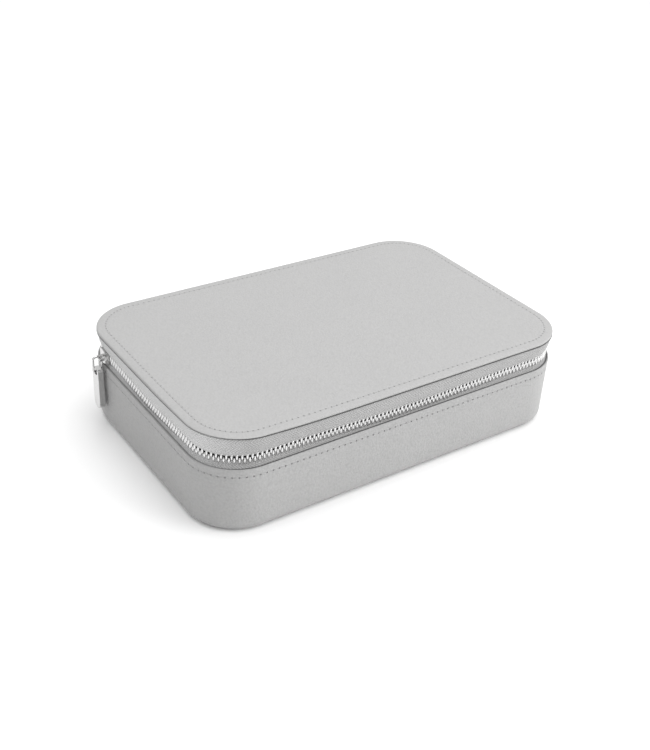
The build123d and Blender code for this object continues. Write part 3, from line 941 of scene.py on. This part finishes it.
def lining_ring(name, node, thickness, seed):
    """A padded velvet wall that follows the case in a CAD node's place: rounded over at the top,
    with soft ripples."""
    outer = HALF_Y + low(node).y
    inner = outer + thickness
    bottom = low(node).z
    top = high(node).z
    radius = thickness / 2
    middle = outer + radius
    crown = arc((middle, top - radius), radius, 180, 0, 9)
    down = straight((inner, top - radius - 2 * MM), (inner, bottom), 8)
    up = straight((outer, bottom), (outer, top - radius), 8)
    profile = np.vstack([crown, down, up])

    def wobble(distance, height):
        return LINING_RIPPLE * ripple(distance, height, seed)

    return swept_ring(name, profile, CASE.stations(5 * MM, 1.8 * MM), wobble)


def soft_board(name, node, radius, seed, amount=0.1 * MM):
    """A covered board in a CAD node's box: a rounded rectangle in plan and in section, with
    ripples of the given amount on its top and underside."""
    lowest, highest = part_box(node)
    half_x = (highest.x - lowest.x) / 2
    half_y = (highest.y - lowest.y) / 2
    centre = ((highest.x + lowest.x) / 2, (highest.y + lowest.y) / 2)
    plan = Plan(half_x, half_y, radius * 1.02, centre)
    profile = round_edge(0.0, lowest.z, highest.z, radius)

    def shift(x, y, z):
        return amount * ripple(x, y, seed)

    return pillow(name, plan, profile, plan.stations(4 * MM, radius / 3), shift, 4)


def lining_panel(name, inset, bottom, top, radius, seed, amount):
    """A covered panel of the case's own plan at an inset, rippled a little."""
    profile = round_edge(inset, bottom, top, radius)

    def shift(x, y, z):
        return amount * ripple(x, y, seed)

    return pillow(name, CASE, profile, CASE.stations(5 * MM, 1.8 * MM), shift, 16)


def make_roll_form(number):
    """A ring roll before it is stuffed: a half round on an upright block, kept a little smaller
    than the room it fills; the first is cut short where the case's corner rounds in. In section
    the half width is the square root of the half round's radius squared less the height above
    its centre squared."""
    lowest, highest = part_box(f"ring_roll_{number}")
    half = (highest.x - lowest.x) / 2 - ROLL_GAP
    foot = lowest.z + ROLL_END_GAP
    middle = (highest.x + lowest.x) / 2
    top = highest.z - 0.4 * MM
    round_part = arc((middle, top - half), half, 180, 0, 13)
    left = straight((middle - half, foot), round_part[0], 6)
    right = straight(round_part[-1], (middle + half, foot), 6)[1:]
    section = np.vstack([left, round_part, right, [[middle + half, foot]]])
    trim = FIRST_ROLL_TRIM if number == 1 else 0.0
    along = np.linspace(lowest.y + ROLL_END_GAP + trim, highest.y - ROLL_END_GAP, 24)
    x, z, y = carried(section, along)
    grid = np.stack([x, y, z], -1)
    u, v = np.meshgrid(along, np.arange(len(section) + 1) * MM)
    uv = np.stack([u, v], -1)
    return skin_from_grid(f"roll_{number}", grid, uv, wrap_rows=True, caps=(0, -1))


def places(mesh):
    """A mesh's vertex places as an array."""
    flat = np.empty(len(mesh.vertices) * 3, np.float32)
    mesh.vertices.foreach_get("co", flat)
    return flat.reshape(-1, 3).astype(float)


def settled_mesh(piece):
    """Applies a piece's modifiers to its mesh."""
    graph = bpy.context.evaluated_depsgraph_get()
    mesh = bpy.data.meshes.new_from_object(piece.evaluated_get(graph))
    piece.modifiers.clear()
    piece.data = mesh


def stuffed(piece, voxel, cap):
    """Fills a closed form as if with wadding: remeshed evenly, blown up by cloth pressure with
    no gravity, each point's move capped, then subdivided once."""
    even = piece.modifiers.new("Remesh", "REMESH")
    even.mode = "VOXEL"
    even.voxel_size = voxel
    even.use_smooth_shade = True
    settled_mesh(piece)
    start = places(piece.data)
    cloth = piece.modifiers.new("Cloth", "CLOTH")
    cloth.settings.use_pressure = True
    cloth.settings.uniform_pressure_force = 4.0
    cloth.settings.effector_weights.gravity = 0.0
    for number in range(1, 21):
        bpy.context.scene.frame_set(number)
    settled_mesh(piece)
    moved = places(piece.data) - start
    length = np.linalg.norm(moved, axis=-1, keepdims=True)
    kept = start + moved * np.minimum(1.0, cap / np.maximum(length, 1e-9))
    piece.data.vertices.foreach_set("co", kept.astype(np.float32).ravel())
    bpy.context.scene.frame_set(1)
    finer = piece.modifiers.new("Subdivision", "SUBSURF")
    finer.levels = 1
    finer.render_levels = 1
    piece.data.polygons.foreach_set("use_smooth", np.full(len(piece.data.polygons), True))
    return piece


def make_pocket_cloth():
    """Gathered pocket: a sheet whose height is a sine across it, with the phase drifting by a
    slower sine, highest at the elastic and dying out towards its rear seam and both ends."""
    lowest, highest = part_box("lid_pocket")
    across = np.linspace(0, 1, POCKET_FOLDS * 8 + 1)
    back = np.linspace(0, 1, 34)
    u, v = np.meshgrid(across, back)
    phase = 2 * math.pi * (POCKET_FOLDS * u + 0.35 * np.sin(5 * math.pi * u + 2.5 * v))
    thick = 0.3 * MM
    room = (highest.z - lowest.z) / 2 - thick
    towards_seam = 0.25 + 0.75 * (1 - v) ** 1.5
    towards_ends = np.sin(math.pi * (0.12 + 0.76 * u)) ** 0.3
    fold = room * np.sin(phase) * towards_seam * towards_ends
    corner = 1 - 0.02 * v**6
    x = (lowest.x + highest.x) / 2 + (u - 0.5) * (highest.x - lowest.x) * corner
    y = lowest.y + (highest.y - lowest.y) * v
    z = (lowest.z + highest.z) / 2 + fold
    grid = np.stack([x, y, z], -1)
    uv = np.stack([u * (highest.x - lowest.x) * 1.1, v * (highest.y - lowest.y)], -1)
    cloth = skin_from_grid("pocket_cloth", grid, uv)
    thicken = cloth.modifiers.new("Solidify", "SOLIDIFY")
    thicken.thickness = thick
    thicken.offset = 0.0
    return cloth


def make_pocket_elastic():
    """Elastic edge of the pocket: a slab whose lower face is puckered by a sine with the
    pocket's own gathers."""
    lowest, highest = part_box("pocket_band")
    half_x = (highest.x - lowest.x) / 2
    half_y = (highest.y - lowest.y) / 2
    centre = ((highest.x + lowest.x) / 2, (highest.y + lowest.y) / 2)
    plan = Plan(half_x, half_y, 0.8 * MM, centre)
    profile = round_edge(0.0, lowest.z, highest.z - 0.2 * MM, 0.5 * MM, 4)

    def shift(x, y, z):
        return 0.12 * MM * (1 + np.sin(2 * math.pi * POCKET_FOLDS * (x / (2 * half_x) + 0.5)))

    return pillow("pocket_elastic", plan, profile, plan.stations(0.8 * MM, 0.3 * MM), shift, 4)


def make_hook(number):
    """A wire hook: straight down from the strip, round a half circle and up to a short tip."""
    lowest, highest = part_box(f"necklace_hook_{number}")
    x = (lowest.x + highest.x) / 2
    radius = ((highest.y - lowest.y) / 2 - HOOK_WIRE) * 0.9
    stem_y = highest.y - HOOK_WIRE
    bend_z = lowest.z + HOOK_WIRE + radius
    stem = straight((stem_y, highest.z - 0.05 * MM), (stem_y, bend_z), 5)
    bend = arc((stem_y - radius, bend_z), radius, 0, -180, 12)
    tip = np.array([[stem_y - 2 * radius, bend_z + 0.8 * MM]])
    line = np.vstack([stem, bend, tip])
    path = np.stack([np.full(len(line), x), line[:, 0], line[:, 1]], -1)
    return tube(f"wire_hook_{number}", path, (1, 0, 0), HOOK_WIRE, 10)


# ------------------------------------------------------------------ assembly
# depth sets how dark the painted shade in the needle holes is.
lid_leather = faux_leather(
    "lid_leather",
    grain=0.6,
    stitch_pitch=LID_PITCH,
    stitch_line=LID_STITCH_INSET,
    depth=0.32,
)
wall_leather = faux_leather(
    "wall_leather",
    grain=1.0,
    stitch_pitch=BASE_PITCH,
    stitch_line=BASE_STITCH_DROP - EDGE_FOLD / 2,
    depth=0.5,
)
plain_leather = faux_leather("plain_leather")
# Each tape's second level is the lighter colour painted at the case's left end: painted light.
lid_tape_cloth = zip_tape_cloth("lid_tape_cloth", level=0.46, left_lit_level=0.68)
base_tape_cloth = zip_tape_cloth("base_tape_cloth", level=0.42, left_lit_level=0.58)
metal = polished_metal("bright_metal", level=0.66, blur=0.10)
teeth_metal = polished_metal("teeth_metal", level=0.74, blur=0.24)
# Dark painted shadow for the gaps under the lid's rim and the base wall's folded edge.
seam_shadow_paint = seam_shadow_finish("seam_shadow_paint", 0.10)
lining_velvet = velvet("lining_velvet", 0.42)
roll_velvet = velvet("roll_velvet", 0.46)
gathered_cloth = pocket_cloth("gathered_cloth", 0.45)
elastic = ribbed_elastic("elastic", 0.40)
board = fibre_board("tray_board", 0.35)
sewing = thread("sewing_thread", 0.41)

# base
settle(make_wall_skin(), "base", wall_leather, "wall_cover", slot="faux_leather")
bottom = lining_panel(
    "bottom_panel",
    inset=HEM + 0.15 * MM,
    bottom=0.0,
    top=SKIN,
    radius=0.3 * MM,
    seed=SEED + 3,
    amount=0.0,
)
settle(bottom, "base", plain_leather, "bottom_cover", slot="faux_leather")
settle(make_lower_tape(), "base", base_tape_cloth, "zip_tape_base", slot="zip_tape")
wall_stitches = make_stitches(
    "wall_stitches",
    WALL_THREAD_INSET,
    BASE_TOP - BASE_STITCH_DROP,
    BASE_PITCH,
)
settle(wall_stitches, "base", sewing, slot="faux_leather")
base_teeth = make_teeth("teeth_of_base", -1, 0.5)
settle(
    base_teeth,
    "base",
    teeth_metal,
    "zip_teeth_base",
    "zip_teeth_base_parted",
    slot="polished_metal",
)
# Painted shadow in the gap between the base wall's folded edge and the tape.
fold_shadow_line = make_shadow_line(
    "fold_shadow_line",
    outer=EDGE_FOLD - 0.1 * MM,
    inner=EDGE_FOLD + 0.75 * MM,
    bottom=BASE_TOP - 0.6 * MM,
    top=BASE_TOP - 0.1 * MM,
)
settle(fold_shadow_line, "base", seam_shadow_paint, slot="faux_leather")

# lid
lid_top = make_lid_top()
settle(lid_top, "lid", lid_leather, "lid_cover", "lid_foam", slot="faux_leather")
lid_stitches = make_stitches(
    "lid_stitches",
    LID_STITCH_INSET,
    lid_height(LID_STITCH_INSET) + 0.02 * MM,
    LID_PITCH,
    corner_lift,
)
settle(lid_stitches, "lid", sewing, slot="faux_leather")
settle(make_upper_tape(), "lid", lid_tape_cloth, "zip_tape_lid", slot="zip_tape")
# Painted shadow in the gap under the lid's rim.
rim_shadow_line = make_shadow_line(
    "rim_shadow_line",
    outer=0.12 * MM,
    inner=1.3 * MM,
    bottom=LID_LOW + LID_RIM - 0.5 * MM,
    top=LID_LOW + LID_RIM + 0.1 * MM,
    lift=rim_lift,
)
settle(rim_shadow_line, "lid", seam_shadow_paint, slot="faux_leather")
lid_teeth = make_teeth("teeth_of_lid", 1, 1.0)
settle(
    lid_teeth,
    "lid",
    teeth_metal,
    "zip_teeth_lid",
    "zip_teeth_lid_parted",
    slot="polished_metal",
)

# spine, the cloth strip along the lid's hinge line
spine = make_spine_strip()
spine.data.materials.append(plain_leather)
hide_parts("hinge_spine", "spine_anchor", "spine_lining")
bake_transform(spine)

# slider and pull
slider_body = rounded_copy("slider_body", "zip_slider", bevel=0.22 * MM, segments=3)
settle(slider_body, "slider", metal, "zip_slider", slot="polished_metal")
settle(make_link(), "link", metal, "pull_link", slot="polished_metal")
tab_plate = rounded_copy("tab_plate", "pull_tab", bevel=0.55 * MM, segments=4)
settle(tab_plate, "tab", metal, "pull_tab", slot="polished_metal")

# inside the base
insert = lining_ring("insert_lining", "insert_wall", 2.0 * MM, SEED + 4)
settle(insert, "base", lining_velvet, "insert_wall", slot="velvet")
inner_lining = lining_ring("tray_lining", "wall_lining", 0.7 * MM, SEED + 5)
settle(inner_lining, "base", lining_velvet, "wall_lining", slot="velvet")
floor_cloth = lining_panel(
    "floor_cloth",
    inset=HALF_Y + low("floor_lining").y,
    bottom=low("floor_lining").z,
    top=high("floor_lining").z,
    radius=0.3 * MM,
    seed=SEED + 6,
    amount=0.05 * MM,
)
settle(floor_cloth, "base", lining_velvet, "floor_lining", slot="velvet")
for number, node in enumerate(("long_divider", "rear_divider", "ring_divider", "front_divider")):
    wall = soft_board(f"{node}_cover", node, 1.1 * MM, SEED + 7 + number)
    settle(wall, "base", lining_velvet, node, slot="velvet")
for number in range(1, 7):
    roll = stuffed(make_roll_form(number), voxel=2.2 * MM, cap=0.55 * MM)
    settle(roll, "base", roll_velvet, f"ring_roll_{number}", slot="velvet")

# inside the lid
panel = lining_panel(
    "lid_panel",
    inset=LID_INSET,
    bottom=LINING_LOW,
    top=high("lid_board").z,
    radius=0.7 * MM,
    seed=SEED + 12,
    amount=0.10 * MM,
)
settle(panel, "lid", lining_velvet, "lid_lining", "lid_board", slot="velvet")
pocket = make_pocket_cloth()
settle(pocket, "lid", gathered_cloth, "lid_pocket", slot="velvet")
pocket_edge = make_pocket_elastic()
settle(pocket_edge, "lid", elastic, "pocket_band", slot="elastic")
strip = soft_board("hook_board", "hook_strip", 0.45 * MM, SEED + 13, amount=0.0)
settle(strip, "lid", lining_velvet, "hook_strip", slot="velvet")
for number in range(1, 6):
    settle(make_hook(number), "lid", metal, f"necklace_hook_{number}", slot="polished_metal")

for node, material in {
    "base_tray": board,
    "floor_pad": board,
    "top_stop_base": metal,
    "top_stop_lid": metal,
    "bottom_stop": metal,
}.items():
    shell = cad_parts[node]
    shell.data.materials.clear()
    shell.data.materials.append(material)


# ------------------------------------------------------------------ studio
def make_floor():
    """A pale floor, eight metres each way, under the case."""
    mesh = bpy.data.meshes.new("floor")
    half = 4.0
    corners = [(-half, -half, 0), (half, -half, 0), (half, half, 0), (-half, half, 0)]
    mesh.from_pydata(corners, [], [[0, 1, 2, 3]])
    floor = bpy.data.objects.new("floor", mesh)
    bpy.context.scene.collection.objects.link(floor)
    paper = Finish("floor_paper", roughness=0.9, specular=0.1)
    paper.colour(grey(0.92))
    mesh.materials.append(paper.material)


def soft_light(name, place, size, watts):
    """A square area light that faces the middle of the case."""
    lamp = bpy.data.lights.new(name, "AREA")
    lamp.size = size
    lamp.energy = watts
    lamp_object = bpy.data.objects.new(name, lamp)
    direction = Vector((0, 0, 0.03)) - Vector(place)
    turn = direction.to_track_quat("-Z", "Y").to_matrix().to_4x4()
    lamp_object.matrix_world = Matrix.Translation(place) @ turn
    bpy.context.scene.collection.objects.link(lamp_object)


def make_sky():
    """A white surrounding light, dimmer near the horizon than overhead."""
    world = bpy.data.worlds.new("studio")
    world.use_nodes = True
    bpy.context.scene.world = world
    tree = world.node_tree
    where = tree.nodes.new("ShaderNodeTexCoord")
    split = tree.nodes.new("ShaderNodeSeparateXYZ")
    blend = tree.nodes.new("ShaderNodeMapRange")
    blend.inputs["From Min"].default_value = -0.05
    blend.inputs["From Max"].default_value = 0.75
    blend.inputs["To Min"].default_value = 0.42
    blend.inputs["To Max"].default_value = 1.0
    tree.links.new(where.outputs["Generated"], split.inputs[0])
    tree.links.new(split.outputs["Z"], blend.inputs["Value"])
    tree.links.new(blend.outputs[0], tree.nodes["Background"].inputs["Strength"])
    tree.nodes["Background"].inputs["Color"].default_value = (1, 1, 1, 1)


def make_camera(azimuth, elevation, roll, place, lens):
    """A camera turned by its azimuth, its height above the horizon and its roll, in degrees."""
    a, e, r = (math.radians(value) for value in (azimuth, elevation, roll))
    back = Vector((math.sin(a) * math.cos(e), -math.cos(a) * math.cos(e), math.sin(e)))
    right = Vector((math.cos(a), math.sin(a), 0))
    up = back.cross(right)
    right_rolled = right * math.cos(r) + up * math.sin(r)
    up_rolled = up * math.cos(r) - right * math.sin(r)
    turn = Matrix((right_rolled, up_rolled, back)).transposed().to_4x4()
    data = bpy.data.cameras.new("camera")
    data.lens = lens
    data.clip_start = 0.01
    camera = bpy.data.objects.new("camera", data)
    camera.matrix_world = Matrix.Translation(place) @ turn
    bpy.context.scene.collection.objects.link(camera)
    bpy.context.scene.camera = camera


make_floor()
make_sky()
soft_light("overhead", (0.15, 0.1, 1.3), size=1.2, watts=8.0)
soft_light("right_front", (0.9, -0.9, 0.6), size=0.9, watts=10.0)
make_camera(
    azimuth=-35.873,
    elevation=31.581,
    roll=3.463,
    place=(-0.33308, -0.45965, 0.37218),
    lens=51.5,
)
bpy.context.scene.view_settings.view_transform = "Standard"
bpy.context.scene.view_settings.look = "None"
